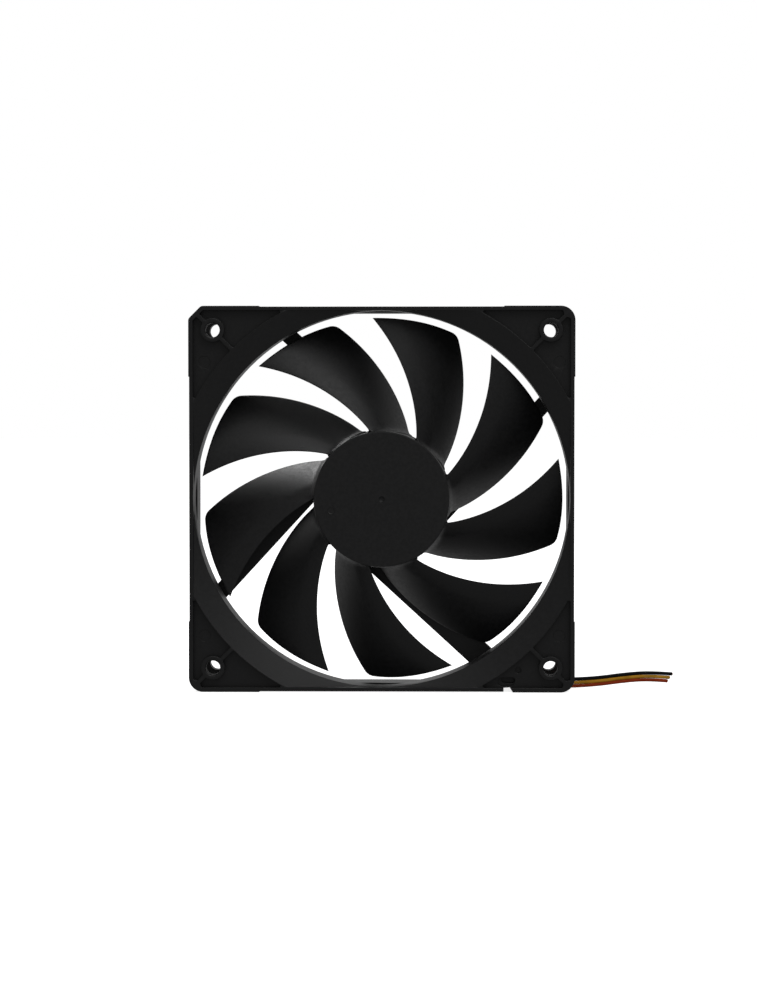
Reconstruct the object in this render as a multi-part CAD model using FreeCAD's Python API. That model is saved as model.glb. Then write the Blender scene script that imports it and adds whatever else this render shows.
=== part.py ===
# A 120 mm case fan: a square moulded frame, a nine-blade impeller, and the sleeve-bearing
# brushless motor inside its hub. The fan stands upright. +Z is up and the axis lies along Y, with
# the intake at -Y and the struts and the motor base at +Y. The origin is on the axis at mid-depth.
# Sizes are in millimetres. Angles are seen from the intake side, anticlockwise from +X.

import FreeCAD, Part
import math
import os
from FreeCAD import Vector

os.makedirs("parts", exist_ok=True)

ORIGIN = Vector(0, 0, 0)
AXIS = Vector(0, 1, 0)

# Frame: the square body and its round duct
SIDE = 120.0              # width and height across the corner flanges
SIDE_RELIEF = 0.25        # the middle of each side lies this far inside the corner flanges
RELIEF_REACH = 38.0       # and does so up to this far from its middle
DEPTH = 25.0
FRONT = -DEPTH / 2
REAR = DEPTH / 2
FLANGE_T = 5.0            # front and rear corner flanges, open between them
CORNER_R = 4.5
CORNER_CHAMFER = 4.0      # the upper left corner is cut straight, with a small round at each end
CHAMFER_ROUND = 1.6
DUCT_R = 58.6
DUCT_FLAT = 58.15         # flats behind the middle of each side, in the rear half
DUCT_OUTER_R = 60.0
FLARE_R = 65.6            # intake flare at the front face
FLARE_DEPTH = 3.2
FLARE_FLAT = 58.5         # the side walls cut the flare off here
OUTLET_START = 3.5        # towards the rear the duct opens slightly, and more within the flange
OUTLET_MID_R = 59.2
OUTLET_R = 63.0

# Screw holes and the lightening pockets round them
HOLE_PITCH = 105.0
HOLE_R = 2.25
HOLE_CHAMFER = 0.3
BOSS_R = 3.7
RIB_W = 1.2
POCKET_R = 65.8
POCKET_DEPTH = 2.2
POCKET_WALL = 1.4
POCKET_ROUND = 0.5
POCKET_CORNER_R = 2.4     # the pockets stop this far from the corner of their walls
PIN_MARK_R = 1.8          # shallow round marks of the mould's ejector pins in the front pockets
PIN_MARK_DEPTH = 0.12
PIN_MARK_X = 55.2
PIN_MARK_Z = 42.6
DIMPLE_R = 0.95           # one deeper dimple in the lower right pocket
DIMPLE_DEPTH = 0.9
DIMPLE_X = 42.5
DIMPLE_Z = -53.2

# Struts and motor base
STRUT_ANGLES = (47.5, 137.5, 227.5, 317.5)
STRUT_EDGE = 20.1         # distance from the axis to the clockwise edge of every strut
STRUT_W = 5.0
STRUT_FRONT = 8.0
STRUT_REAR = 12.1
STRUT_END_R = 64.0
CABLE_STRUT = 3           # the strut that carries the wires
CABLE_STRUT_W = 8.0
CHANNEL_W = 4.6
CHANNEL_FLOOR = 8.9
CHANNEL_START = 5.0       # along the strut, from its nearest point to the axis
CHANNEL_LENGTH = 55.0
SLOT_EDGE = 18.8          # the channel opens into the corner through a slot in the rear flange
SLOT_W = 5.8
SLOT_END = 67.2
SLOT_FRONT = 7.0
CLIP_PLACES = (30.0, 46.0)
CLIP_L = 2.0
CLIP_T = 0.8
CLIP_REACH = 1.6
BASE_R = 21.4
BASE_INNER_R = 20.0
BASE_FRONT = 8.4
BASE_FLOOR = 10.9
BASE_REAR = 12.4
BASE_BOSS_R = 6.6
LABEL_R = 19.0
LABEL_T = 0.15
LABEL_RECESS = 0.25

# Lower right corner of the front flange: a stepped recess, each step an oblong with round ends
# given as x, z, width, height and depth, and a notch in the edge below it
RECESS_STEPS = ((38.7, -56.9, 5.2, 2.6, 3.2), (39.4, -56.4, 4.2, 1.8, 4.4))
NOTCH_LEFT = 37.9
NOTCH_RIGHT = 39.9
NOTCH_SLANT = 0.9
NOTCH_TOP = -58.6

# Impeller
HUB_R = 21.2
HUB_INNER_R = 19.9
HUB_FRONT = -12.0
HUB_FACE_T = 1.6
HUB_REAR = 7.6
HUB_EDGE_R = 0.6
BLADES = 9
TIP_R = 56.4
TIP_CORNER_R = 1.6        # rounding of the trailing tip corner
CAMBER = 0.07             # share of the chord
EDGE_T = 0.7              # thickness of the trailing edge
# One blade, root to tip: radius, leading edge angle and Y, trailing edge angle and Y, thickness
STATIONS = (
    (21.0, 59.2, -10.6, 26.8, 6.6, 2.2),
    (30.0, 70.3, -10.3, 40.0, 6.2, 1.9),
    (39.0, 78.9, -9.7, 49.9, 5.6, 1.7),
    (48.0, 86.4, -8.9, 58.2, 4.9, 1.5),
    (60.0, 95.6, -7.8, 68.4, 4.0, 1.4),
)

# Rotor
YOKE_T = 0.9
YOKE_REAR = 6.8
MAGNET_T = 2.4
MAGNET_FRONT = -6.5
MAGNET_REAR = 6.4
SHAFT_R = 1.5
SHAFT_REAR = 9.2
SHAFT_CHAMFER = 0.4
GROOVE_R = 1.1
CLIP_FRONT = 6.7          # split washer in the groove of the shaft
CLIP_REAR = 7.2
CLIP_R = 2.9
CLIP_GAP = 1.2
INSERT_R = 3.2
INSERT_FLANGE_R = 4.6
INSERT_FLANGE_T = 0.8
INSERT_REAR = -6.6

# Bearing
TUBE_R = 4.6
TUBE_INNER_R = 4.0
TUBE_FRONT = -5.0
TUBE_REAR = 11.6
SLEEVE_R = 1.53
SLEEVE_FRONT = -3.8
SLEEVE_REAR = 6.4
OIL_RING_R = 1.9
OIL_RING_FRONT = -4.8
PAD_FRONT = 9.3
PAD_REAR = 10.2
CAP_REAR = 12.0

# Stator
POLES = 4
STATOR_R = 16.1
STATOR_HALF = 3.2         # half the height of the stack
STATOR_HUB_R = 6.6
NECK_W = 4.2
SHOE_R = 14.2
SHOE_GAP = 1.6
FORMER_T = 0.7
FORMER_TOP = 6.3
FORMER_REAR_TOP = 5.0     # lower, to clear the sensor
LIP_T = 0.7
LEG_R = 0.8
LEG_PLACE_R = 15.1
LEG_ANGLE = 36.0
COIL_INNER = 7.5
COIL_OUTER = 13.4
COIL_T = 2.4
COIL_ROUND = 1.2

# Circuit board and what is soldered on it
BOARD_R = 18.4
BOARD_HOLE_R = 5.2
BOARD_FRONT = 6.9
BOARD_REAR = 8.1
PIN_R = 0.35
PIN_FRONT = 4.4
PIN_REAR = 8.7
SOLDER_R = 0.6
# Parts on the board: distance from the axis, width, height, front and rear face, and their angles
HALL_SENSOR = (14.8, 4.0, 3.0, 5.3, BOARD_FRONT, (57,))
DRIVER_CHIP = (12.0, 5.0, 4.0, BOARD_REAR, 9.7, (150,))
CAPACITORS = (12.5, 3.2, 1.6, BOARD_REAR, 9.5, (20, 75))
RESISTORS = (10.5, 2.0, 1.25, BOARD_REAR, 8.6, (190, 215, 330))

# Wires: insulated, side by side. Each route runs from its solder joint along the channel of the
# strut, forward through the slot into the open corner, and out to the right under the screw hole
WIRE_R = 0.53
WIRES = {
    "wire_black": (
        (-7.8, 8.65, -12.9), (-5.3, 8.8, -15.5), (-2.4, 9.7, -18.2), (3.4, 9.6, -23.6), (14.2, 9.6, -33.4),
        (24.5, 9.6, -42.9), (34.8, 9.4, -52.3), (40.7, 5.6, -56.0), (47.7, 2.6, -57.1), (57.3, 1.2, -57.1),
        (67.3, 0.9, -56.6), (76.2, 1.3, -55.4), (84.2, 1.2, -54.8), (91.4, 1.0, -55.3),
    ),
    "wire_yellow": (
        (-8.7, 8.65, -13.9), (-6.1, 8.8, -16.3), (-3.1, 9.7, -19.0), (2.7, 9.6, -24.4), (13.5, 9.6, -34.2),
        (23.7, 9.6, -43.6), (34.1, 9.4, -53.1), (40.2, 5.6, -57.1), (47.6, 2.6, -58.2), (57.2, 1.2, -58.2),
        (67.2, 0.9, -57.7), (76.1, 1.3, -56.5), (83.9, 1.2, -55.9), (90.6, 1.0, -56.4),
    ),
    "wire_red": (
        (-9.5, 8.65, -14.9), (-6.8, 8.8, -17.1), (-3.9, 9.7, -19.8), (2.0, 9.6, -25.2), (12.8, 9.6, -35.0),
        (23.0, 9.6, -44.4), (33.4, 9.4, -53.9), (39.7, 5.6, -58.2), (47.5, 2.6, -59.3), (57.1, 1.2, -59.3),
        (67.1, 0.9, -58.8), (76.0, 1.3, -57.6), (83.6, 1.2, -57.0), (89.9, 1.0, -57.5),
    ),
}
RUN_SHARE = 0.45          # of the shorter run, taken up by each arc


def at(radius, degrees, y=0.0):
    angle = math.radians(degrees)
    return Vector(radius * math.cos(angle), y, radius * math.sin(angle))


def disc(radius, y_from, y_to, x=0.0, z=0.0):
    return Part.makeCylinder(radius, y_to - y_from, Vector(x, y_from, z), AXIS)


def ring(outer, inner, y_from, y_to):
    return disc(outer, y_from, y_to).cut(disc(inner, y_from, y_to))


def cone(front_r, rear_r, y_from, y_to, x=0.0, z=0.0):
    return Part.makeCone(front_r, rear_r, y_to - y_from, Vector(x, y_from, z), AXIS)


def block(x_from, x_to, y_from, y_to, z_from, z_to):
    return Part.makeBox(x_to - x_from, y_to - y_from, z_to - z_from, Vector(x_from, y_from, z_from))


def prism(points, y_from, y_to):
    """Extrude an outline of (x, z) points along the axis."""
    corners = [Vector(x, y_from, z) for x, z in points]
    return Part.Face(Part.makePolygon(corners + corners[:1])).extrude(AXIS * (y_to - y_from))


def turned(shape, degrees):
    """Turn a shape about the fan's axis, anticlockwise seen from the intake side."""
    copy = shape.copy()
    copy.rotate(ORIGIN, AXIS, -degrees)
    return copy


def along_strut(strut, start, end, edge, width, y_from, y_to):
    """A block beside one strut's clockwise edge: edge is its distance from the axis."""
    return turned(block(start, end, y_from, y_to, -edge, width - edge), STRUT_ANGLES[strut])


def fused(shapes):
    return shapes[0].multiFuse(shapes[1:]).removeSplitter()


def save(name, shape):
    if not shape.isValid():
        raise RuntimeError(name + " is not a valid shape")
    shape.exportStep("parts/" + name + ".step")
    print(name, "solids", len(shape.Solids), "volume", round(shape.Volume, 2))


# ---------------------------------------------------------------- frame

def square_body():
    half = SIDE / 2
    body = block(-half, half, FRONT, REAR, -half, half)
    uprights = [edge for edge in body.Edges if abs(edge.Length - DEPTH) < 0.01]
    cut_corner = [e for e in uprights if e.CenterOfMass.x < 0 and e.CenterOfMass.z > 0]
    round_corners = [e for e in uprights if e.CenterOfMass.x > 0 or e.CenterOfMass.z < 0]
    body = body.makeFillet(CORNER_R, round_corners)
    cut_corner = [
        e for e in body.Edges
        if abs(e.Length - DEPTH) < 0.01 and e.CenterOfMass.x < -half + 0.1 and e.CenterOfMass.z > half - 0.1
    ]
    body = body.makeChamfer(CORNER_CHAMFER, cut_corner)
    chamfer_ends = [
        e for e in body.Edges
        if abs(e.Length - DEPTH) < 0.01 and e.CenterOfMass.x < -half + 2 * CORNER_CHAMFER
        and e.CenterOfMass.z > half - 2 * CORNER_CHAMFER
    ]
    body = body.makeFillet(CHAMFER_ROUND, chamfer_ends)
    for quarter in range(4):
        relief = block(half - SIDE_RELIEF, half + 1, FRONT, REAR, -RELIEF_REACH, RELIEF_REACH)
        body = body.cut(turned(relief, 90 * quarter))
    return body


def corner_pockets(y_from, y_to):
    """The two pockets of the upper right corner, either side of the rib and the screw boss."""
    reach = SIDE / 2 - POCKET_WALL
    region = block(0, reach, y_from, y_to, 0, reach).cut(disc(POCKET_R, y_from, y_to))
    rib = turned(block(0, SIDE, y_from, y_to, -RIB_W / 2, RIB_W / 2), 45)
    boss = disc(BOSS_R, y_from, y_to, HOLE_PITCH / 2, HOLE_PITCH / 2)
    corner = disc(POCKET_CORNER_R, y_from, y_to, reach, reach)
    pockets = []
    for solid in region.cut(rib.fuse(boss).fuse(corner)).Solids:
        if solid.Volume < 5:
            continue
        floor = min(solid.Faces, key=lambda face: face.CenterOfMass.y)
        outline = floor.makeOffset2D(-POCKET_ROUND).makeOffset2D(POCKET_ROUND)
        pockets.append(outline.extrude(AXIS * (y_to - y_from)))
    return pockets


def make_frame():
    body = square_body()
    corner_space = block(-SIDE, SIDE, FRONT + FLANGE_T, REAR - FLANGE_T, -SIDE, SIDE)
    corner_space = corner_space.cut(disc(DUCT_OUTER_R, FRONT, REAR))
    duct_front = disc(DUCT_R, FRONT, 0)
    flange_front = REAR - FLANGE_T
    outlet = cone(DUCT_R, OUTLET_MID_R, OUTLET_START, flange_front)
    outlet = outlet.fuse(cone(OUTLET_MID_R, OUTLET_R, flange_front, REAR))
    duct_rear = fused([disc(DUCT_R, 0, REAR), outlet])
    duct_rear = duct_rear.common(block(-DUCT_FLAT, DUCT_FLAT, 0, REAR, -DUCT_FLAT, DUCT_FLAT))
    flare = cone(FLARE_R, DUCT_R, FRONT, FRONT + FLARE_DEPTH)
    flare = flare.common(block(-FLARE_FLAT, FLARE_FLAT, FRONT, 0, -FLARE_FLAT, FLARE_FLAT))
    body = body.cut(corner_space).cut(duct_front.fuse(duct_rear).fuse(flare))

    cuts = []
    for quarter in range(4):
        front_pockets = corner_pockets(FRONT, FRONT + POCKET_DEPTH)
        rear_pockets = corner_pockets(REAR - POCKET_DEPTH, REAR)
        cuts += [turned(pocket, 90 * quarter) for pocket in front_pockets + rear_pockets]
    chamfer_wall = (SIDE - CORNER_CHAMFER) / math.sqrt(2) - POCKET_WALL
    beside_chamfer = turned(block(chamfer_wall, SIDE, FRONT, REAR, -SIDE, SIDE), 135)
    cuts = [pocket.cut(beside_chamfer) for pocket in cuts]
    for x in (-HOLE_PITCH / 2, HOLE_PITCH / 2):
        for z in (-HOLE_PITCH / 2, HOLE_PITCH / 2):
            wide = HOLE_R + HOLE_CHAMFER
            cuts.append(disc(HOLE_R, FRONT, REAR, x, z))
            cuts.append(cone(wide, HOLE_R, FRONT, FRONT + HOLE_CHAMFER, x, z))
            cuts.append(cone(HOLE_R, wide, REAR - HOLE_CHAMFER, REAR, x, z))

    pocket_floor = FRONT + POCKET_DEPTH
    for x in (-PIN_MARK_X, PIN_MARK_X):
        for z in (-PIN_MARK_Z, PIN_MARK_Z):
            cuts.append(disc(PIN_MARK_R, FRONT, pocket_floor + PIN_MARK_DEPTH, x, z))
    cuts.append(disc(DIMPLE_R, FRONT, pocket_floor + DIMPLE_DEPTH, DIMPLE_X, DIMPLE_Z))
    for x, z, width, height, depth in RECESS_STEPS:
        reach = (width - height) / 2
        half = height / 2
        cuts.append(disc(half, FRONT, FRONT + depth, x - reach, z))
        cuts.append(disc(half, FRONT, FRONT + depth, x + reach, z))
        cuts.append(block(x - reach, x + reach, FRONT, FRONT + depth, z - half, z + half))
    low = -SIDE / 2
    notch = (
        (NOTCH_LEFT, low), (NOTCH_RIGHT + NOTCH_SLANT, low),
        (NOTCH_RIGHT, NOTCH_TOP), (NOTCH_LEFT, NOTCH_TOP),
    )
    cuts.append(prism(notch, FRONT, FRONT + FLANGE_T))
    body = body.cut(cuts)

    spokes = [disc(BASE_R, BASE_FRONT, BASE_REAR)]
    for strut in range(len(STRUT_ANGLES)):
        width = CABLE_STRUT_W if strut == CABLE_STRUT else STRUT_W
        spokes.append(along_strut(strut, 0, SIDE / 2, STRUT_EDGE, width, STRUT_FRONT, STRUT_REAR))
    spider = fused(spokes).common(disc(STRUT_END_R, STRUT_FRONT, REAR))
    spider = spider.cut(disc(BASE_INNER_R, STRUT_FRONT, BASE_FLOOR))
    spider = spider.fuse(disc(BASE_BOSS_R, BASE_FRONT, BASE_FLOOR))
    spider = spider.cut(disc(TUBE_R, BASE_FRONT, BASE_REAR))
    spider = spider.cut(disc(LABEL_R + LABEL_T, BASE_REAR - LABEL_RECESS, BASE_REAR))
    body = body.fuse(spider)

    middle = STRUT_EDGE - CABLE_STRUT_W / 2
    edge = middle + CHANNEL_W / 2
    channel = along_strut(CABLE_STRUT, CHANNEL_START, CHANNEL_START + CHANNEL_LENGTH, edge, CHANNEL_W,
                          CHANNEL_FLOOR, REAR)
    channel = channel.cut(disc(LABEL_R + 2 * LABEL_T, BASE_FLOOR, REAR))
    slot_start = math.sqrt(DUCT_R ** 2 - middle ** 2)
    slot = along_strut(CABLE_STRUT, slot_start, SLOT_END, SLOT_EDGE, SLOT_W, SLOT_FRONT, REAR)
    slot = slot.cut(disc(DUCT_OUTER_R, SLOT_FRONT, REAR))
    body = body.cut([channel, slot])
    clip_front = STRUT_REAR - CLIP_T
    far_edge = edge - CHANNEL_W + CLIP_REACH
    for place in CLIP_PLACES:
        near = along_strut(CABLE_STRUT, place, place + CLIP_L, edge, CLIP_REACH, clip_front, STRUT_REAR)
        far = along_strut(CABLE_STRUT, place + 2 * CLIP_L, place + 3 * CLIP_L, far_edge, CLIP_REACH,
                          clip_front, STRUT_REAR)
        body = body.fuse([near, far])
    return body.removeSplitter()


# ---------------------------------------------------------------- impeller

def blade_section(radius, lead_deg, lead_y, trail_deg, trail_y, thickness):
    """A closed aerofoil wire across the blade, with a rounded nose and a blunt trailing edge."""
    lead = at(radius, lead_deg, lead_y)
    chord = at(radius, trail_deg, trail_y) - lead
    outward = at(1, (lead_deg + trail_deg) / 2)
    bulge = outward.cross(chord)
    bulge.normalize()
    if bulge.y > 0:
        bulge = -bulge
    camber = CAMBER * chord.Length
    steps = (1.0, 0.75, 0.5, 0.25, 0.07)

    def point(step, side):
        belly = 4 * step * (1 - step)
        half = thickness / 2 * math.sqrt(min(1.0, step / 0.3)) if step < 0.3 else (
            thickness / 2 + (EDGE_T - thickness) / 2 * (step - 0.3) / 0.7)
        return lead + chord * step + bulge * (camber * belly + side * half)

    points = [point(step, 1) for step in steps] + [lead] + [point(step, -1) for step in reversed(steps)]
    skin = Part.BSplineCurve()
    skin.interpolate(points)
    return Part.Wire([skin.toShape(), Part.makeLine(points[-1], points[0])])


def tip_corner_cutter():
    """Rounds the corner between the tip circle and the trailing edge."""
    inner = at(STATIONS[3][0], STATIONS[3][3])
    share = (TIP_R - STATIONS[3][0]) / (STATIONS[4][0] - STATIONS[3][0])
    corner = at(TIP_R, STATIONS[3][3] + share * (STATIONS[4][3] - STATIONS[3][3]))
    edge = corner - inner
    edge.normalize()
    into_blade = Vector(-edge.z, 0, edge.x)
    start = corner + into_blade * TIP_CORNER_R
    back = start.dot(edge)
    reach = TIP_R - TIP_CORNER_R
    slide = back - math.sqrt(back ** 2 - start.dot(start) + reach ** 2)
    centre = start - edge * slide
    on_edge = corner - edge * slide
    on_circle = centre * (TIP_R / centre.Length)
    beyond = corner + (corner - centre) * 0.6
    low = on_edge + (on_edge - centre) * 0.4
    high = on_circle + (on_circle - centre) * 0.4
    outline = [(p.x, p.z) for p in (centre, low, beyond, high)]
    return prism(outline, FRONT, REAR).cut(disc(TIP_CORNER_R, FRONT, REAR, centre.x, centre.z))


def make_impeller():
    hub = disc(HUB_R, HUB_FRONT, HUB_REAR)
    rim = [edge for edge in hub.Edges if abs(edge.CenterOfMass.y - HUB_FRONT) < 0.01]
    hub = hub.makeFillet(HUB_EDGE_R, rim)
    hub = hub.cut(disc(HUB_INNER_R, HUB_FRONT + HUB_FACE_T, HUB_REAR))
    blade = Part.makeLoft([blade_section(*station) for station in STATIONS], True)
    blade = blade.common(disc(TIP_R, FRONT, REAR)).cut(tip_corner_cutter())
    return fused([hub] + [turned(blade, 360 / BLADES * i) for i in range(BLADES)])


# ---------------------------------------------------------------- rotor

HUB_INSIDE = HUB_FRONT + HUB_FACE_T


def make_yoke():
    cup = disc(HUB_INNER_R, HUB_INSIDE, YOKE_REAR)
    cup = cup.cut(disc(HUB_INNER_R - YOKE_T, HUB_INSIDE + YOKE_T, YOKE_REAR))
    return cup.cut(disc(INSERT_R, HUB_INSIDE, YOKE_REAR))


def make_magnet():
    outer = HUB_INNER_R - YOKE_T
    return ring(outer, outer - MAGNET_T, MAGNET_FRONT, MAGNET_REAR)


def make_shaft():
    shaft = disc(SHAFT_R, HUB_INSIDE, SHAFT_REAR)
    end = [edge for edge in shaft.Edges if abs(edge.CenterOfMass.y - SHAFT_REAR) < 0.01]
    shaft = shaft.makeChamfer(SHAFT_CHAMFER, end)
    return shaft.cut(ring(SHAFT_R + 1, GROOVE_R, CLIP_FRONT, CLIP_REAR))


def make_shaft_insert():
    flange_rear = HUB_INSIDE + YOKE_T + INSERT_FLANGE_T
    body = disc(INSERT_R, HUB_INSIDE, INSERT_REAR)
    body = body.fuse(disc(INSERT_FLANGE_R, HUB_INSIDE + YOKE_T, flange_rear))
    return body.cut(disc(SHAFT_R, HUB_INSIDE, INSERT_REAR)).removeSplitter()


def make_retaining_ring():
    clip = ring(CLIP_R, GROOVE_R, CLIP_FRONT, CLIP_REAR)
    return clip.cut(block(0, CLIP_R + 1, CLIP_FRONT, CLIP_REAR, -CLIP_GAP / 2, CLIP_GAP / 2))


# ---------------------------------------------------------------- bearing

def make_bearing_cap():
    plug = disc(TUBE_INNER_R, PAD_REAR, TUBE_REAR)
    return plug.fuse(disc(TUBE_R, TUBE_REAR, CAP_REAR)).removeSplitter()


# ---------------------------------------------------------------- stator

def pole_outline(y_from, y_to):
    """Hub, necks and shoes of the stator, with its bore."""
    shoes = ring(STATOR_R, SHOE_R, y_from, y_to)
    solid = [disc(STATOR_HUB_R, y_from, y_to)]
    for pole in range(POLES):
        neck = block(0, SHOE_R + 0.5, y_from, y_to, -NECK_W / 2, NECK_W / 2)
        solid.append(turned(neck, 90 * pole))
        gap = block(0, SIDE, y_from, y_to, -SHOE_GAP / 2, SHOE_GAP / 2)
        shoes = shoes.cut(turned(gap, 90 * pole + 45))
    return fused(solid + shoes.Solids).cut(disc(TUBE_R, y_from, y_to))


def make_former(side):
    """One half of the plastic winding former, in front of the stack (-1) or behind it (+1)."""
    near = STATOR_HALF
    plate_end = STATOR_HALF + FORMER_T
    top = FORMER_REAR_TOP if side > 0 else FORMER_TOP
    lips = ring(SHOE_R + LIP_T, SHOE_R, plate_end, top).common(pole_outline(plate_end, top))
    inner_lip = ring(STATOR_HUB_R, STATOR_HUB_R - LIP_T, plate_end, top)
    former = fused([pole_outline(near, plate_end), inner_lip] + lips.Solids)
    if side > 0:
        for place in leg_places():
            former = former.fuse(disc(LEG_R, near, BOARD_FRONT, place.x, place.z))
            former = former.cut(disc(PIN_R, PIN_FRONT, BOARD_FRONT, place.x, place.z))
        return former.removeSplitter()
    return former.mirror(ORIGIN, AXIS)


def leg_places():
    return [at(LEG_PLACE_R, LEG_ANGLE + 90 * i) for i in range(POLES)]


def make_coil(pole):
    inside = STATOR_HALF + FORMER_T
    outside = inside + COIL_T
    half = NECK_W / 2
    coil = block(COIL_INNER, COIL_OUTER, -outside, outside, -half - COIL_T, half + COIL_T)
    long_edges = [
        edge for edge in coil.Edges
        if abs(edge.Length - (COIL_OUTER - COIL_INNER)) < 0.01 and abs(edge.tangentAt(0).x) > 0.9
    ]
    coil = coil.makeFillet(COIL_ROUND, long_edges)
    return turned(coil.cut(block(0, SIDE, -inside, inside, -half, half)), 90 * pole)


# ---------------------------------------------------------------- circuit board

def make_board():
    board = ring(BOARD_R, BOARD_HOLE_R, BOARD_FRONT, BOARD_REAR)
    return board.cut([disc(PIN_R, BOARD_FRONT, BOARD_REAR, p.x, p.z) for p in leg_places()])


def board_parts(radius, width, height, y_from, y_to, angles):
    """Square-edged parts on the board, each turned to face the axis."""
    body = block(radius - height / 2, radius + height / 2, y_from, y_to, -width / 2, width / 2)
    return Part.makeCompound([turned(body, angle) for angle in angles])


def make_solder():
    """Joints where the pins and the wire ends meet the back of the board."""
    places = leg_places() + [Vector(*route[0]) for route in WIRES.values()]
    joints = []
    for place in places:
        blob = Part.makeSphere(SOLDER_R, Vector(place.x, BOARD_REAR, place.z))
        blob = blob.common(block(-SIDE, SIDE, BOARD_REAR, REAR, -SIDE, SIDE))
        joints.append(blob)
    return joints


# ---------------------------------------------------------------- wires

def wire_tube(name, route):
    """A round tube along straight runs joined by tangent arcs."""
    points = [Vector(*point) for point in route]
    edges = []
    radii = []
    here = points[0]
    for before, corner, after in zip(points, points[1:], points[2:]):
        to_before = before - corner
        to_after = after - corner
        setback = RUN_SHARE * min(to_before.Length, to_after.Length)
        turn = math.pi - to_before.getAngle(to_after)
        radii.append(setback / math.tan(turn / 2))
        to_before.normalize()
        to_after.normalize()
        start = corner + to_before * setback
        end = corner + to_after * setback
        inward = to_before + to_after
        inward.normalize()
        middle = corner + inward * (radii[-1] / math.cos(turn / 2) - radii[-1])
        edges.append(Part.makeLine(here, start))
        edges.append(Part.Arc(start, middle, end).toShape())
        here = end
    edges.append(Part.makeLine(here, points[-1]))
    path = Part.Wire(edges)
    section = Part.Wire([Part.makeCircle(WIRE_R, points[0], points[1] - points[0])])
    tube = path.makePipeShell([section], True, False)
    expected = math.pi * WIRE_R ** 2 * path.Length
    print(name, "length", round(path.Length, 2), "volume ratio", round(tube.Volume / expected, 4))
    print(name, "radii", [round(radius, 1) for radius in radii])
    return tube


# ---------------------------------------------------------------- everything

wires = {name: wire_tube(name, route) for name, route in WIRES.items()}
solder = []
for blob in make_solder():
    for tube in wires.values():
        blob = blob.cut(tube)
    pins = [disc(PIN_R, BOARD_REAR, PIN_REAR, p.x, p.z) for p in leg_places()]
    solder.append(blob.cut(pins))

save("frame", make_frame())
save("impeller", make_impeller())
save("rotor_yoke", make_yoke())
save("ring_magnet", make_magnet())
save("shaft", make_shaft())
save("shaft_insert", make_shaft_insert())
save("retaining_ring", make_retaining_ring())
save("bearing_tube", ring(TUBE_R, TUBE_INNER_R, TUBE_FRONT, TUBE_REAR))
save("sleeve_bearing", ring(TUBE_INNER_R, SLEEVE_R, SLEEVE_FRONT, SLEEVE_REAR))
save("oil_ring", ring(TUBE_INNER_R, OIL_RING_R, OIL_RING_FRONT, SLEEVE_FRONT))
save("thrust_pad", disc(TUBE_INNER_R, PAD_FRONT, PAD_REAR))
save("bearing_cap", make_bearing_cap())
save("stator_core", pole_outline(-STATOR_HALF, STATOR_HALF))
save("insulator_front", make_former(-1))
save("insulator_rear", make_former(1))
for pole in range(POLES):
    save("coil_" + str(pole + 1), make_coil(pole))
save("terminal_pins", Part.makeCompound([disc(PIN_R, PIN_FRONT, PIN_REAR, p.x, p.z) for p in leg_places()]))
save("circuit_board", make_board())
save("hall_sensor", board_parts(*HALL_SENSOR))
save("driver_chip", board_parts(*DRIVER_CHIP))
save("capacitors", board_parts(*CAPACITORS))
save("resistors", board_parts(*RESISTORS))
save("solder_joints", Part.makeCompound(solder))
save("rear_label", disc(LABEL_R, BASE_REAR - LABEL_RECESS, BASE_REAR - LABEL_RECESS + LABEL_T))
for name, tube in wires.items():
    save(name, tube)
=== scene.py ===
# A 120 mm case fan in a pale studio. The sections follow the fan as it is put together: bearing,
# stator, circuit board, frame, label, wires, rotor and impeller, and then the studio round it.
# Lengths are in metres; the values in millimetres carry * MM.

import bpy
import bmesh
import math
from mathutils import Matrix, Vector


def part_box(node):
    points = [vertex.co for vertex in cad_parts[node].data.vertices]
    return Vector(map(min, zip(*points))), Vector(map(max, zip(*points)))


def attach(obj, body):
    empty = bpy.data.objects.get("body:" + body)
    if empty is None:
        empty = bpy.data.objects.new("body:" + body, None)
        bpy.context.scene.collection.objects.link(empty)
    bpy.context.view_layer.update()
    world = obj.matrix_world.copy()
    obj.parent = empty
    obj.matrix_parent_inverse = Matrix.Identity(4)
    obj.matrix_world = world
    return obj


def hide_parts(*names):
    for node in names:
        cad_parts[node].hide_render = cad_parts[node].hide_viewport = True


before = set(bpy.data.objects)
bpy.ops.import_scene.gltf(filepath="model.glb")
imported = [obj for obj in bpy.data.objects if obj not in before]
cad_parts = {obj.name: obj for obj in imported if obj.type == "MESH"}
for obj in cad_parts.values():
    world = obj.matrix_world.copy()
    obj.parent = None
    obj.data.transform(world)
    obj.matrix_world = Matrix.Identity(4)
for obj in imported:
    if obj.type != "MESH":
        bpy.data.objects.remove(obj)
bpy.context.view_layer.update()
MM = 0.001


# The bearing: a brass tube pressed into the motor base, and in it a sintered bronze sleeve soaked
# in oil, a nylon oil ring, the thrust pad that the shaft's end runs on, and a nylon cap behind.
def finish(name, colour, roughness, metallic=0.0, specular=0.5):
    """A material with the plain values of its shader, for the functions below to add pattern to."""
    material = bpy.data.materials.new(name)
    material.use_nodes = True
    shader = material.node_tree.nodes["Principled BSDF"]
    shader.inputs["Base Color"].default_value = (*colour, 1.0)
    shader.inputs["Roughness"].default_value = roughness
    shader.inputs["Metallic"].default_value = metallic
    shader.inputs["Specular IOR Level"].default_value = specular
    return material


def add_node(material, kind, **values):
    """A new shader node, with some of its sockets set by name."""
    node = material.node_tree.nodes.new(kind)
    for socket, value in values.items():
        node.inputs[socket.replace("_", " ")].default_value = value
    return node


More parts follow.
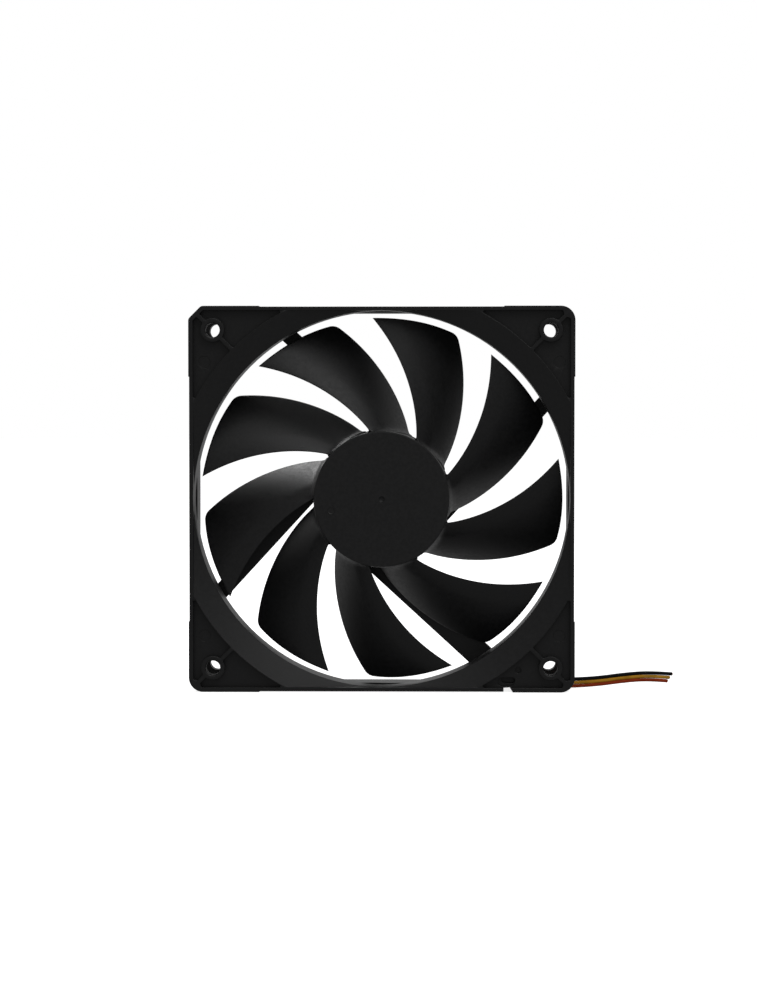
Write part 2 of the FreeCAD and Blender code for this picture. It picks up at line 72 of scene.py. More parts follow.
def place_of(material, stretch=(1.0, 1.0, 1.0)):
    """Object coordinates, stretched, for the material's patterns to read."""
    place = add_node(material, "ShaderNodeTexCoord")
    mapping = add_node(material, "ShaderNodeMapping", Scale=stretch)
    material.node_tree.links.new(place.outputs["Object"], mapping.inputs["Vector"])
    return mapping.outputs["Vector"]


def raise_bump(material, height, depth, strength=0.6):
    """Adds a height pattern to the surface, on top of any that is there already."""
    links = material.node_tree.links
    normal = material.node_tree.nodes["Principled BSDF"].inputs["Normal"]
    bump = add_node(material, "ShaderNodeBump", Strength=strength, Distance=depth)
    if normal.is_linked:
        links.new(normal.links[0].from_socket, bump.inputs["Normal"])
    links.new(height, bump.inputs["Height"])
    links.new(bump.outputs["Normal"], normal)


BROAD_SCALE = 0.22        # of the fine noise's scale
TINT_FROM = 0.38
TINT_TO = 0.62


def grain(material, size, depth, roughness, tint=None, stretch=(1.0, 1.0, 1.0)):
    """Fine noise in relief, and broad noise in the roughness and, with a tint, in the colour."""
    links = material.node_tree.links
    shader = material.node_tree.nodes["Principled BSDF"]
    place = place_of(material, stretch)
    fine = add_node(material, "ShaderNodeTexNoise", Scale=1.0 / size, Detail=4.0)
    broad = add_node(material, "ShaderNodeTexNoise", Scale=BROAD_SCALE / size, Detail=6.0)
    links.new(place, fine.inputs["Vector"])
    links.new(place, broad.inputs["Vector"])
    raise_bump(material, fine.outputs["Fac"], depth)
    spread = add_node(material, "ShaderNodeMapRange", From_Min=0.3, From_Max=0.7)
    spread.inputs["To Min"].default_value = roughness[0]
    spread.inputs["To Max"].default_value = roughness[1]
    links.new(broad.outputs["Fac"], spread.inputs["Value"])
    links.new(spread.outputs["Result"], shader.inputs["Roughness"])
    if tint:
        ramp = add_node(material, "ShaderNodeValToRGB")
        base, tinted = ramp.color_ramp.elements
        base.position = TINT_FROM
        tinted.position = TINT_TO
        base.color = tuple(shader.inputs["Base Color"].default_value)
        tinted.color = (*tint, 1.0)
        links.new(broad.outputs["Fac"], ramp.inputs["Fac"])
        links.new(ramp.outputs["Color"], shader.inputs["Base Color"])
    return material


def give(material, *nodes):
    """Gives parts whose shape is right already their finish."""
    for node in nodes:
        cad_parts[node].material_slots[0].material = material


turned_brass = finish("turned brass", (0.62, 0.43, 0.17), 0.28, metallic=1.0)
grain(turned_brass, 0.5 * MM, 0.004 * MM, (0.2, 0.38), tint=(0.52, 0.34, 0.12), stretch=(1, 12, 1))
oiled_bronze = finish("oiled sintered bronze", (0.42, 0.24, 0.11), 0.42, metallic=0.9)
grain(oiled_bronze, 0.12 * MM, 0.02 * MM, (0.3, 0.55), tint=(0.27, 0.15, 0.07))
white_nylon = finish("white nylon", (0.78, 0.77, 0.72), 0.45)
grain(white_nylon, 0.4 * MM, 0.006 * MM, (0.38, 0.55), tint=(0.7, 0.68, 0.6))
give(turned_brass, "bearing_tube", "shaft_insert")
give(oiled_bronze, "sleeve_bearing")
give(white_nylon, "oil_ring", "thrust_pad", "bearing_cap")


# The stator core: a stack of punched silicon steel sheets with four poles, pressed on the tube.
# Its edges show the sheets, and the punched faces have a thin blue-grey oxide.
SHEET_T = 0.5 * MM
WAVE = 0.314              # a wave texture of this scale has waves one metre long

punched_steel = finish("punched silicon steel", (0.3, 0.31, 0.33), 0.4, metallic=0.9)
grain(punched_steel, 0.6 * MM, 0.004 * MM, (0.3, 0.5), tint=(0.22, 0.23, 0.27))
sheets = add_node(punched_steel, "ShaderNodeTexWave", Scale=WAVE / SHEET_T)
sheets.bands_direction = "Y"
punched_steel.node_tree.links.new(place_of(punched_steel), sheets.inputs["Vector"])
raise_bump(punched_steel, sheets.outputs["Fac"], 0.03 * MM)
give(punched_steel, "stator_core")

# The two halves of the winding former: thin white polyester mouldings clipped over the stack, with
# lips that keep the windings in, and on the rear half four legs that stand on the board.
former_white = finish("former polyester", (0.74, 0.75, 0.73), 0.5)
grain(former_white, 0.3 * MM, 0.01 * MM, (0.42, 0.6), tint=(0.66, 0.66, 0.62))
give(former_white, "insulator_front", "insulator_rear")


# The four windings: enamelled copper wire wound round each pole between the lips of the former, in
# even turns that lie side by side.
COIL_WIRE = 0.28 * MM
COIL_CORNER_R = 1.2 * MM
GROOVE = (1, 0.975, 0.965)  # the size of the winding between two turns, against its full size


def wound_coil(pole):
    """One winding: a block round its pole, pinched in between each turn and the next."""
    low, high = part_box("coil_1")
    size = high - low
    turns = round(size.x / COIL_WIRE)
    pitch = size.x / turns
    shape = bmesh.new()
    bmesh.ops.create_cube(shape, size=1.0)
    bmesh.ops.scale(shape, verts=shape.verts, vec=size)
    bmesh.ops.translate(shape, verts=shape.verts, vec=((low.x + high.x) / 2, 0, 0))
    long_edges = [edge for edge in shape.edges if abs(edge.verts[0].co.x - edge.verts[1].co.x) > MM]
    bmesh.ops.bevel(
        shape, geom=long_edges, offset=COIL_CORNER_R, segments=4, profile=0.5, affect="EDGES",
        material=-1,
    )
    for cut in range(1, 2 * turns):
        place = (low.x + cut * pitch / 2, 0, 0)
        everything = shape.verts[:] + shape.edges[:] + shape.faces[:]
        new = bmesh.ops.bisect_plane(shape, geom=everything, plane_co=place, plane_no=(1, 0, 0))
        if cut % 2 == 0:
            groove = [part for part in new["geom_cut"] if isinstance(part, bmesh.types.BMVert)]
            bmesh.ops.scale(shape, verts=groove, vec=GROOVE)
    ends = [face for face in shape.faces if abs(face.normal.x) > 0.99]
    bmesh.ops.inset_region(shape, faces=ends, thickness=COIL_WIRE / 2, depth=-COIL_WIRE / 4)
    turn = Matrix.Rotation(math.radians(90 * pole), 3, "Y")
    bmesh.ops.rotate(shape, verts=shape.verts, cent=(0, 0, 0), matrix=turn)
    return shape


def make_piece(shape, name, material, sharp_angle=30):
    """A smooth-shaded object from a bmesh, with creases where its faces meet at a sharp angle."""
    for face in shape.faces:
        face.smooth = True
    for edge in shape.edges:
        edge.smooth = edge.is_manifold and edge.calc_face_angle(0) < math.radians(sharp_angle)
    piece = bpy.data.objects.new(name, bpy.data.meshes.new(name))
    shape.to_mesh(piece.data)
    shape.free()
    piece.data.materials.append(material)
    bpy.context.scene.collection.objects.link(piece)
    return piece


enamelled_copper = finish("enamelled copper", (0.5, 0.17, 0.06), 0.24, metallic=0.85)
grain(enamelled_copper, 0.3 * MM, 0.006 * MM, (0.18, 0.34), tint=(0.36, 0.1, 0.035))
for pole in range(4):
    winding = make_piece(wound_coil(pole), f"winding_{pole + 1}", enamelled_copper)
    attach(winding, "root")
    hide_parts(f"coil_{pole + 1}")


# The circuit board: a ring of green-lacquered glass laminate behind the stator, with a hall sensor
# in front, and a driver chip, two capacitors and three resistors behind. Everything is soldered.
TRACK_PITCH = 1.96 * MM   # the copper tracks show through the lacquer as rings

lacquer = finish("lacquered laminate", (0.015, 0.13, 0.05), 0.28)
grain(lacquer, 0.8 * MM, 0.01 * MM, (0.22, 0.36), tint=(0.025, 0.19, 0.08))
tracks = add_node(
    lacquer, "ShaderNodeTexWave", Scale=WAVE / TRACK_PITCH, Distortion=3.0, Detail=0.0,
)
tracks.wave_type = "RINGS"
tracks.rings_direction = "Y"
lacquer.node_tree.links.new(place_of(lacquer), tracks.inputs["Vector"])
raise_bump(lacquer, tracks.outputs["Fac"], 0.03 * MM)
chip_resin = finish("chip resin", (0.018, 0.018, 0.02), 0.5)
grain(chip_resin, 0.15 * MM, 0.01 * MM, (0.42, 0.6), tint=(0.03, 0.03, 0.032))
tan_ceramic = finish("capacitor ceramic", (0.36, 0.23, 0.12), 0.4)
grain(tan_ceramic, 0.2 * MM, 0.008 * MM, (0.32, 0.5), tint=(0.28, 0.18, 0.1))
bright_tin = finish("bright tin", (0.72, 0.73, 0.74), 0.22, metallic=1.0)
grain(bright_tin, 0.25 * MM, 0.01 * MM, (0.14, 0.34), tint=(0.58, 0.59, 0.6))
give(lacquer, "circuit_board")
give(chip_resin, "driver_chip", "hall_sensor", "resistors")
give(tan_ceramic, "capacitors")
give(bright_tin, "solder_joints", "terminal_pins")


# The frame: one moulding in black glass-filled polyester. A round duct joins two square flanges,
# open between them at the corners, and four struts at the back carry the motor base.
# The mould leaves every outer edge slightly round and the faces finely matt.
FRAME_EDGE = 0.14 * MM
SAME_POINT = 0.003 * MM   # corners of the loose triangles nearer than this are one point
SAME_PLANE = 0.3          # triangles that meet at less than this angle, in degrees, are one face


def joined_copy(node):
    """A copy of a part's surface with its loose triangles joined."""
    shape = bmesh.new()
    shape.from_mesh(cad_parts[node].data)
    bmesh.ops.remove_doubles(shape, verts=shape.verts, dist=SAME_POINT)
    even_out(shape)
    return shape


def even_out(shape):
    """Swaps the long thin triangles of every flat face for better ones."""
    in_plane = [edge for edge in shape.edges if edge.calc_face_angle(0) < math.radians(SAME_PLANE)]
    bmesh.ops.beautify_fill(shape, faces=shape.faces[:], edges=in_plane, method="ANGLE")


def soften_outer_edges(shape, width, sharp_angle=30):
    """Rounds every edge that stands out, and leaves the inner corners as they are."""
    outer = [
        edge for edge in shape.edges
        if edge.is_manifold and edge.is_convex and edge.calc_face_angle(0) > math.radians(sharp_angle)
    ]
    bmesh.ops.bevel(
        shape, geom=outer, offset=width, segments=2, profile=0.5, affect="EDGES", material=-1,
        clamp_overlap=False,
    )


def keep_faces_flat(piece):
    """Shades the large faces flat and lets only the narrow rounds between them bend the light."""
    normals = piece.modifiers.new("flat faces", "WEIGHTED_NORMAL")
    normals.weight = 80
    normals.keep_sharp = True


frame_black = finish("black moulded polyester", (0.009, 0.009, 0.0095), 0.4)
grain(frame_black, 0.25 * MM, 0.02 * MM, (0.38, 0.48), tint=(0.0125, 0.0125, 0.013))
shape = joined_copy("frame")
soften_outer_edges(shape, FRAME_EDGE)
frame_moulding = make_piece(shape, "frame_moulding", frame_black, sharp_angle=46)
keep_faces_flat(frame_moulding)
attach(frame_moulding, "root")
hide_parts("frame")


# The label on the motor base: a disc of brushed grey foil, glued in a shallow recess. It is blank
# but for a dark printed disc over the bearing with a thin ring round it, and a thin ring near the
# edge.
LABEL_EDGE = 0.05 * MM
FOIL = (0.46, 0.47, 0.48)
INK = 0.03
# Where the print changes, as a share of the label's radius: ink and foil by turns, ink first
PRINT_CHANGES = (0.0, 0.27, 0.3, 0.32, 0.9, 0.93)

label_low, label_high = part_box("rear_label")
label_radius = label_high.x
stand_up = Matrix.Rotation(math.radians(90), 3, "X")
shape = bmesh.new()
bmesh.ops.create_circle(shape, cap_ends=True, segments=96, radius=label_radius)
bmesh.ops.rotate(shape, verts=shape.verts, cent=(0, 0, 0), matrix=stand_up)
bmesh.ops.translate(shape, verts=shape.verts, vec=(0, label_low.y, 0))
face = bmesh.ops.extrude_face_region(shape, geom=shape.faces[:])["geom"]
raised = [part for part in face if isinstance(part, bmesh.types.BMVert)]
bmesh.ops.translate(shape, verts=raised, vec=(0, label_high.y - label_low.y, 0))
bmesh.ops.recalc_face_normals(shape, faces=shape.faces)
rim = [edge for edge in shape.edges if all(vert in raised for vert in edge.verts)]
bmesh.ops.bevel(
    shape, geom=rim, offset=LABEL_EDGE, segments=2, profile=0.5, affect="EDGES", material=-1,
)
label_foil = finish("brushed label foil", FOIL, 0.34, metallic=0.7)
grain(label_foil, 0.25 * MM, 0.006 * MM, (0.28, 0.42), stretch=(1, 1, 14))
links = label_foil.node_tree.links
flatten = add_node(label_foil, "ShaderNodeVectorMath")
flatten.operation = "MULTIPLY"
flatten.inputs[1].default_value = (1.0, 0.0, 1.0)
links.new(place_of(label_foil), flatten.inputs[0])
from_axis = add_node(label_foil, "ShaderNodeVectorMath")
from_axis.operation = "LENGTH"
links.new(flatten.outputs["Vector"], from_axis.inputs[0])
share = add_node(label_foil, "ShaderNodeMath")
share.operation = "DIVIDE"
share.inputs[1].default_value = label_radius
links.new(from_axis.outputs["Value"], share.inputs[0])
print_rings = add_node(label_foil, "ShaderNodeValToRGB")
print_rings.color_ramp.interpolation = "CONSTANT"
bands = print_rings.color_ramp.elements
for number, position in enumerate(PRINT_CHANGES):
    band = bands[number] if number < 2 else bands.new(position)
    band.position = position
    band.color = (*FOIL, 1.0) if number % 2 else (INK, INK, INK * 1.1, 1.0)
links.new(share.outputs["Value"], print_rings.inputs["Fac"])
foil_shader = label_foil.node_tree.nodes["Principled BSDF"]
links.new(print_rings.outputs["Color"], foil_shader.inputs["Base Color"])
label = make_piece(shape, "blank_label", label_foil)
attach(label, "root")
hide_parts("rear_label")


# The three wires: stranded copper in thin PVC, soldered to the board. They lie side by side in the
# channel of one strut, come forward through a slot into the open corner of the frame, and leave it
# to the right under the screw hole. They are cut off a little way out, the black one the furthest.
WIRE_D = 1.1 * MM
STRAND_D = 0.15 * MM
STRANDS_OUT = 0.2 * MM
PVC_SHADE = 0.78          # the darker patches of the insulation
# Each wire's colour and its route in millimetres, from its solder joint to its cut end
WIRES = {
    "black": ((0.008, 0.008, 0.009), (
        (-7.8, 8.65, -12.9), (-5.3, 8.8, -15.5), (-2.4, 9.7, -18.2), (3.4, 9.6, -23.6), (14.2, 9.6, -33.4),
        (24.5, 9.6, -42.9), (34.8, 9.4, -52.3), (40.7, 5.6, -56.0), (47.7, 2.6, -57.1), (57.3, 1.2, -57.1),
        (67.3, 0.9, -56.6), (76.2, 1.3, -55.4), (84.2, 1.2, -54.8), (91.2, 1.0, -55.3),
    )),
    "yellow": ((0.85, 0.42, 0.035), (
        (-8.7, 8.65, -13.9), (-6.1, 8.8, -16.3), (-3.1, 9.7, -19.0), (2.7, 9.6, -24.4), (13.5, 9.6, -34.2),
        (23.7, 9.6, -43.6), (34.1, 9.4, -53.1), (40.2, 5.6, -57.1), (47.6, 2.6, -58.2), (57.2, 1.2, -58.2),
        (67.2, 0.9, -57.7), (76.1, 1.3, -56.5), (83.9, 1.2, -55.9), (90.4, 1.0, -56.4),
    )),
    "red": ((0.5, 0.06, 0.012), (
        (-9.5, 8.65, -14.9), (-6.8, 8.8, -17.1), (-3.9, 9.7, -19.8), (2.0, 9.6, -25.2), (12.8, 9.6, -35.0),
        (23.0, 9.6, -44.4), (33.4, 9.4, -53.9), (39.7, 5.6, -58.2), (47.5, 2.6, -59.3), (57.1, 1.2, -59.3),
        (67.1, 0.9, -58.8), (76.0, 1.3, -57.6), (83.6, 1.2, -57.0), (89.7, 1.0, -57.5),
    )),
}


def strand_ends(end, direction):
    """Seven cut copper strands, one in the middle, that stand a little out of the insulation."""
    shape = bmesh.new()
    turn = direction.to_track_quat("Z", "Y").to_matrix()
    for strand in range(7):
        angle = math.radians(60 * strand)
        spread = 0.0 if strand == 6 else STRAND_D
        beside = turn @ Vector((math.cos(angle), math.sin(angle), 0)) * spread
        bmesh.ops.create_cone(
            shape, cap_ends=True, segments=12, radius1=STRAND_D / 2, radius2=STRAND_D / 2,
            depth=2 * STRANDS_OUT, matrix=Matrix.Translation(end + beside) @ turn.to_4x4(),
        )
    return shape


cut_copper = finish("cut copper strands", (0.75, 0.32, 0.15), 0.25, metallic=1.0)
grain(cut_copper, 0.08 * MM, 0.01 * MM, (0.18, 0.34), tint=(0.6, 0.22, 0.1))
for shade, (colour, route) in WIRES.items():
    points = [Vector(point) * MM for point in route]
    line = bpy.data.curves.new(f"wire_{shade}_insulation", "CURVE")
    line.dimensions = "3D"
    line.bevel_depth = WIRE_D / 2
    line.bevel_resolution = 6
    line.use_fill_caps = True
    line.resolution_u = 10
    spline = line.splines.new("NURBS")
    spline.points.add(len(points) - 1)
    for control, point in zip(spline.points, points):
        control.co = (*point, 1.0)
    spline.order_u = 3
    spline.use_endpoint_u = True
    insulation = bpy.data.objects.new(line.name, line)
    bpy.context.scene.collection.objects.link(insulation)
    soft_pvc = finish(f"{shade} soft PVC", colour, 0.6, specular=0.15)
    darker = [channel * PVC_SHADE for channel in colour]
    grain(soft_pvc, 0.5 * MM, 0.012 * MM, (0.54, 0.68), tint=darker)
    line.materials.append(soft_pvc)
    outwards = (points[-1] - points[-2]).normalized()
    strands = make_piece(strand_ends(points[-1], outwards), f"wire_{shade}_strands", cut_copper)
    for piece in (insulation, strands):
        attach(piece, "root")
    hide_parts(f"wire_{shade}")


# The rotor: a drawn steel yoke pressed into the hub, a ring magnet glued inside it, and a ground
# steel shaft in a brass insert. A split ring in the shaft's groove keeps it in the bearing.
zinc_steel = finish("zinc-plated steel", (0.5, 0.51, 0.52), 0.36, metallic=1.0)
grain(zinc_steel, 0.5 * MM, 0.006 * MM, (0.26, 0.46), tint=(0.4, 0.41, 0.43), stretch=(1, 5, 1))
ground_steel = finish("ground shaft steel", (0.62, 0.62, 0.63), 0.16, metallic=1.0)
grain(ground_steel, 0.2 * MM, 0.002 * MM, (0.1, 0.22), tint=(0.55, 0.55, 0.56), stretch=(1, 20, 1))
ferrite = finish("ferrite", (0.035, 0.034, 0.036), 0.55, metallic=0.2)
grain(ferrite, 0.2 * MM, 0.03 * MM, (0.45, 0.68), tint=(0.055, 0.052, 0.054))
split_nylon = finish("natural nylon ring", (0.66, 0.64, 0.56), 0.42)
grain(split_nylon, 0.3 * MM, 0.006 * MM, (0.36, 0.5), tint=(0.58, 0.55, 0.46))
give(zinc_steel, "rotor_yoke")
give(ground_steel, "shaft")
give(ferrite, "ring_magnet")
give(split_nylon, "retaining_ring")


# The impeller: a cup-shaped hub and nine curved blades moulded in one with it, in black polyester.
# The blades are thin aerofoils that grow out of the hub with a small fillet at the root. The flat
# hub face has a small dimple at its centre and the round mark of the gate.
BLADES = 9
HUB_R = 21.2 * MM
HUB_INNER_R = 19.9 * MM
HUB_FRONT = -12.0 * MM
HUB_REAR = 7.6 * MM
HUB_FACE_T = 1.6 * MM
HUB_EDGE_R = 0.6 * MM
DIMPLE_DEPTH = 0.35 * MM
DIMPLE_LIP = 0.12 * MM
GATE_R = 1.15 * MM
GATE_IN = 0.35 * MM       # width of the gate mark's slope on the inside and on the outside
GATE_OUT = 0.08 * MM
GATE_LIP = 0.15 * MM
UNDER = 0.02 * MM         # the feet of the gate mark lie this far inside the hub
GATE_X = -15.7 * MM
GATE_Z = -3.5 * MM
ROOT_R = 20.4 * MM
TIP_R = 56.4 * MM
TIP_CORNER_R = 1.4 * MM
TIP_CHORD = 26.0 * MM
TIP_ROUND = 0.35 * MM
FILLET_R = 1.5 * MM
TRAIL_T = 0.7 * MM
CAMBER = 0.07
NOSE = 0.3                # share of the chord in which a blade reaches its full thickness
BLADE_LOOPS = 34
BLADE_SEGMENTS = 56
# A blade from root to tip: radius, leading edge angle and y, trailing edge angle and y, thickness
STATIONS = (
    (21.0, 59.2, -10.6, 26.8, 6.6, 2.2),
    (30.0, 70.3, -10.3, 40.0, 6.2, 1.9),
    (39.0, 78.9, -9.7, 49.9, 5.6, 1.7),
    (48.0, 86.4, -8.9, 58.2, 4.9, 1.5),
    (60.0, 95.6, -7.8, 68.4, 4.0, 1.4),
)


def at(radius, degrees, y=0.0):
    """A point at an angle seen from the intake, anticlockwise from +X."""
    angle = math.radians(degrees)
    return Vector((radius * math.cos(angle), y, radius * math.sin(angle)))


def between_stations(radius):
    """The five values of the blade at any radius, on one smooth curve through the stations."""
    values = [0.0] * 5
    for station in STATIONS:
        weight = 1.0
        for other in STATIONS:
            if other is not station:
                weight *= (radius / MM - other[0]) / (station[0] - other[0])
        for index, value in enumerate(station[1:]):
            values[index] += weight * value
    return values


def rounding(distance, radius):
    """How far a quarter-round edge has risen at a distance in from the edge, from 0 to 1."""
    left = min(1.0, max(0.0, 1.0 - distance / radius))
    return math.sqrt(1.0 - left * left)


def on_blade(radius, step, side, spare_thickness, round_off):
    """A point of the skin. Step goes from the leading edge, 0, to the trailing edge, 1, and side
    is 1 in front of the chord and -1 behind it. The station whose chord has its point at that step
    on the wanted radius is found by halving."""
    low = 0.9 * radius
    high = 1.15 * radius
    for _ in range(22):
        station = (low + high) / 2
        lead_deg, lead_y, trail_deg, trail_y, thickness = between_stations(station)
        lead = at(station, lead_deg, lead_y * MM)
        chord = at(station, trail_deg, trail_y * MM) - lead
        middle = lead + chord * step
        if math.hypot(middle.x, middle.z) < radius:
            low = station
        else:
            high = station
    bulge = at(1.0, (lead_deg + trail_deg) / 2).cross(chord).normalized()
    if bulge.y > 0:
        bulge = -bulge
    nose = math.sqrt(min(1.0, step / NOSE))
    taper = max(0.0, (step - NOSE) / (1 - NOSE))
    full = thickness * MM * (1 - taper) + TRAIL_T * taper
    heel = rounding((1 - step) * chord.length, TRAIL_T / 2)
    ends = rounding(min(step, 1 - step) * chord.length, 2 * TRAIL_T)
    half = full / 2 * nose * heel * round_off + spare_thickness * ends
    return middle + bulge * (CAMBER * chord.length * 4 * step * (1 - step) + side * half)


def place_key(vert):
    """The place of a point to the nearest nanometre."""
    return tuple(round(value, 9) for value in vert.co)


def blade_shape():
    """One blade, as closed aerofoil loops set one outside the other from the root to the tip."""
    shape = bmesh.new()
    circle = bmesh.ops.create_circle(shape, cap_ends=False, segments=BLADE_SEGMENTS, radius=1.0)
    ring = circle["verts"]
    phases = [math.atan2(vert.co.y, vert.co.x) for vert in ring]
    edges = shape.edges[:]
    for number in range(BLADE_LOOPS):
        share = number / (BLADE_LOOPS - 1)
        reach = (1 - math.cos(math.pi * share)) / 2
        for vert, phase in zip(ring, phases):
            step = (1 + math.cos(phase)) / 2
            corner = TIP_CORNER_R * (1 - rounding((1 - step) * TIP_CHORD, TIP_CORNER_R))
            tip = TIP_R - corner
            radius = ROOT_R + (tip - ROOT_R) * reach
            fillet = FILLET_R * (1 - rounding(max(0.0, radius - HUB_R), FILLET_R))
            round_off = max(0.05, rounding(tip - radius, TIP_ROUND))
            vert.co = on_blade(radius, step, math.copysign(1.0, phase), fillet, round_off)
        if number < BLADE_LOOPS - 1:
            # The new loop starts where the old one lies, so its points are found by their places
            before = [place_key(vert) for vert in ring]
            grown = bmesh.ops.extrude_edge_only(shape, edges=edges)["geom"]
            new = {
                place_key(part): part for part in grown if isinstance(part, bmesh.types.BMVert)
            }
            ring = [new[key] for key in before]
            edges = [
                part for part in grown
                if isinstance(part, bmesh.types.BMEdge) and all(vert in ring for vert in part.verts)
            ]
    bmesh.ops.contextual_create(shape, geom=edges)
    bmesh.ops.triangulate(shape, faces=[face for face in shape.faces if len(face.verts) > 4])
    return shape


impeller_black = finish("black impeller polyester", (0.009, 0.009, 0.0095), 0.42)
grain(impeller_black, 0.2 * MM, 0.024 * MM, (0.37, 0.53), tint=(0.015, 0.015, 0.0155))

shape = blade_shape()
one_blade = shape.verts[:] + shape.edges[:] + shape.faces[:]
for number in range(1, BLADES):
    copy = bmesh.ops.duplicate(shape, geom=one_blade)["geom"]
    copied = [part for part in copy if isinstance(part, bmesh.types.BMVert)]
    turn = Matrix.Rotation(math.radians(-360 / BLADES * number), 3, "Y")
    bmesh.ops.rotate(shape, verts=copied, cent=(0, 0, 0), matrix=turn)
bmesh.ops.recalc_face_normals(shape, faces=shape.faces)


def add_turned(shape, profile, steps, centre=(0, 0, 0)):
    """Adds a profile of (radius, y) points, turned about an axis that runs along Y. An open
    profile is made to face the intake."""
    turned = bmesh.new()
    line = [turned.verts.new((radius, y, 0)) for radius, y in profile]
    for start, end in zip(line, line[1:]):
        turned.edges.new((start, end))
    bmesh.ops.spin(
        turned, geom=turned.verts[:] + turned.edges[:], cent=(0, 0, 0), axis=(0, 1, 0),
        angle=math.tau, steps=steps, use_merge=True,
    )
    bmesh.ops.remove_doubles(turned, verts=turned.verts, dist=0.001 * MM)
    bmesh.ops.recalc_face_normals(turned, faces=turned.faces)
    turned.normal_update()
    if all(face.normal.y > 0 for face in turned.faces):
        bmesh.ops.reverse_faces(turned, faces=turned.faces[:])
    bmesh.ops.translate(turned, verts=turned.verts, vec=centre)
    mesh = bpy.data.meshes.new("turned part")
    turned.to_mesh(mesh)
    turned.free()
    shape.from_mesh(mesh)
    bpy.data.meshes.remove(mesh)


add_turned(shape, (
    (0.0, HUB_FRONT + DIMPLE_DEPTH), (0.5 * MM, HUB_FRONT + DIMPLE_DEPTH),
    (0.6 * MM, HUB_FRONT + 0.3 * MM), (0.95 * MM, HUB_FRONT - 0.1 * MM),
    (1.1 * MM, HUB_FRONT - DIMPLE_LIP), (1.7 * MM, HUB_FRONT),
    (HUB_R - HUB_EDGE_R, HUB_FRONT), (HUB_R - 0.3 * HUB_EDGE_R, HUB_FRONT + 0.3 * HUB_EDGE_R),
    (HUB_R, HUB_FRONT + HUB_EDGE_R), (HUB_R, HUB_REAR),
    (HUB_INNER_R, HUB_REAR), (HUB_INNER_R, HUB_FRONT + HUB_FACE_T), (0.0, HUB_FRONT + HUB_FACE_T),
), steps=128)
add_turned(shape, (
    (GATE_R - GATE_IN, HUB_FRONT + UNDER), (GATE_R, HUB_FRONT - GATE_LIP),
    (GATE_R + GATE_OUT, HUB_FRONT + UNDER),
), steps=40, centre=(GATE_X, 0, GATE_Z))
impeller = make_piece(shape, "impeller_moulding", impeller_black)
keep_faces_flat(impeller)
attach(impeller, "rotor")
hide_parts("impeller")


# The view: a long lens a metre in front of the fan, a little above its axis and to the right, so
# that the fan shows nearly square on, with its lead to the right.
AIM = Vector((-1.2, 0.0, -0.6)) * MM
AZIMUTH = math.radians(1.15)
ELEVATION = math.radians(1.85)
DISTANCE = 0.981
LENS = 112.4

to_camera = Vector((
    math.sin(AZIMUTH) * math.cos(ELEVATION), -math.cos(AZIMUTH) * math.cos(ELEVATION),
    math.sin(ELEVATION),
))
camera = bpy.data.objects.new("camera", bpy.data.cameras.new("camera"))
camera.data.lens = LENS
camera.data.clip_start = 0.05
camera.data.clip_end = 20.0
camera.location = AIM + to_camera * DISTANCE
camera.rotation_euler = to_camera.to_track_quat("Z", "Y").to_euler()
bpy.context.scene.collection.objects.link(camera)
bpy.context.scene.camera = camera
bpy.context.scene.view_settings.view_transform = "Standard"


# The studio: a white floor and a white backdrop all round, so that the black fan stands out. The
# backdrop lights the fan more from behind than from the front, a large soft lamp hangs above in
# front, a little to the right, and a smaller one above behind it, a little to the left.
FLOOR_REACH = 6.0
FLOOR_GLOW = 0.8
BACKDROP_FROM = -0.3      # the backdrop's light starts to grow at this share of the way to +Y
BACKDROP_TO = 0.7
LIGHT_IN_FRONT = 0.2
LIGHT_BEHIND = 0.45
# Each lamp's name, place, width and power
LAMPS = (
    ("lamp above", (0.3, -0.45, 1.0), 1.3, 4.6),
    ("lamp behind", (-0.3, 0.8, 0.9), 0.6, 4.0),
)

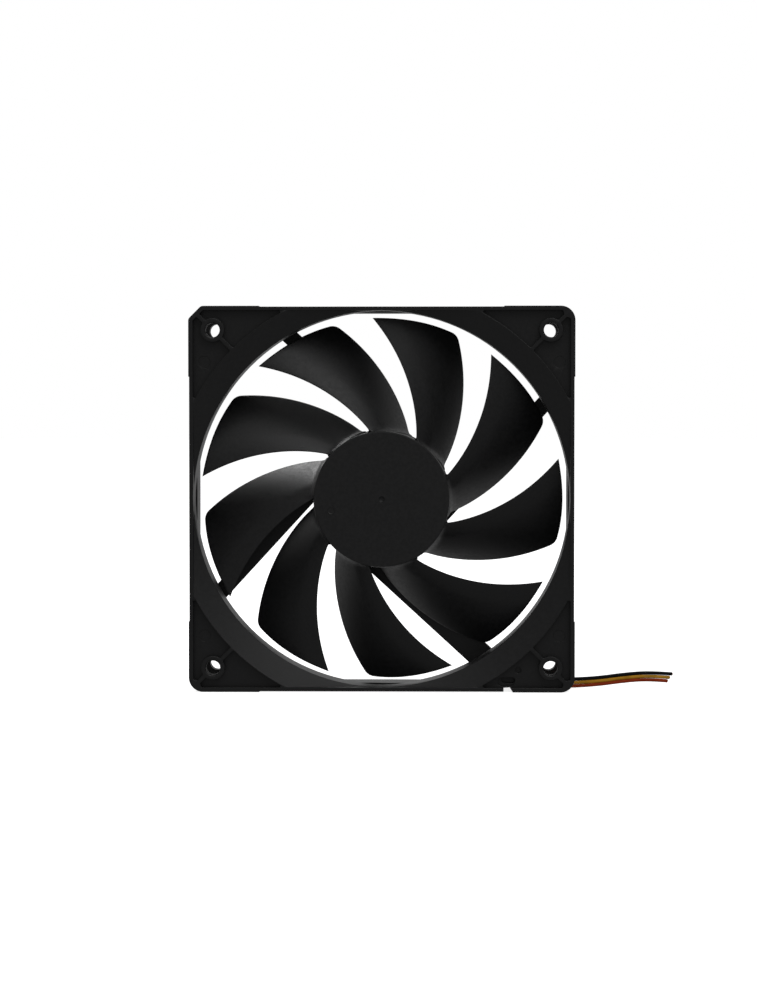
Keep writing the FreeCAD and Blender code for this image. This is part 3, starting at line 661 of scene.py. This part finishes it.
floor_white = finish("studio floor", (0.93, 0.93, 0.93), 0.7, specular=0.1)
grain(floor_white, 4 * MM, 0.02 * MM, (0.65, 0.75))
glow = floor_white.node_tree.nodes["Principled BSDF"]
glow.inputs["Emission Color"].default_value = (1.0, 1.0, 1.0, 1.0)
glow.inputs["Emission Strength"].default_value = FLOOR_GLOW
shape = bmesh.new()
bmesh.ops.create_grid(shape, x_segments=1, y_segments=1, size=FLOOR_REACH)
bmesh.ops.translate(shape, verts=shape.verts, vec=(0, 0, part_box("frame")[0].z))
floor = make_piece(shape, "floor", floor_white)
floor.visible_diffuse = False
floor.visible_glossy = False

world = bpy.data.worlds.new("studio")
world.use_nodes = True
bpy.context.scene.world = world
nodes = world.node_tree.nodes
links = world.node_tree.links
direction = nodes.new("ShaderNodeTexCoord")
split = nodes.new("ShaderNodeSeparateXYZ")
links.new(direction.outputs["Generated"], split.inputs["Vector"])
front_to_back = nodes.new("ShaderNodeMapRange")
front_to_back.interpolation_type = "SMOOTHSTEP"
front_to_back.inputs["From Min"].default_value = BACKDROP_FROM
front_to_back.inputs["From Max"].default_value = BACKDROP_TO
front_to_back.inputs["To Min"].default_value = LIGHT_IN_FRONT
front_to_back.inputs["To Max"].default_value = LIGHT_BEHIND
links.new(split.outputs["Y"], front_to_back.inputs["Value"])
links.new(front_to_back.outputs["Result"], nodes["Background"].inputs["Strength"])
nodes["Background"].inputs["Color"].default_value = (1.0, 1.0, 1.0, 1.0)
backdrop = nodes.new("ShaderNodeBackground")
backdrop.inputs["Color"].default_value = (1.0, 1.0, 1.0, 1.0)
rays = nodes.new("ShaderNodeLightPath")
pick = nodes.new("ShaderNodeMixShader")
links.new(rays.outputs["Is Camera Ray"], pick.inputs["Fac"])
links.new(nodes["Background"].outputs["Background"], pick.inputs[1])
links.new(backdrop.outputs["Background"], pick.inputs[2])
links.new(pick.outputs["Shader"], nodes["World Output"].inputs["Surface"])

for name, place, size, power in LAMPS:
    lamp = bpy.data.objects.new(name, bpy.data.lights.new(name, "AREA"))
    lamp.data.shape = "DISK"
    lamp.data.size = size
    lamp.data.energy = power
    lamp.location = place
    lamp.rotation_euler = Vector(place).to_track_quat("Z", "Y").to_euler()
    bpy.context.scene.collection.objects.link(lamp)
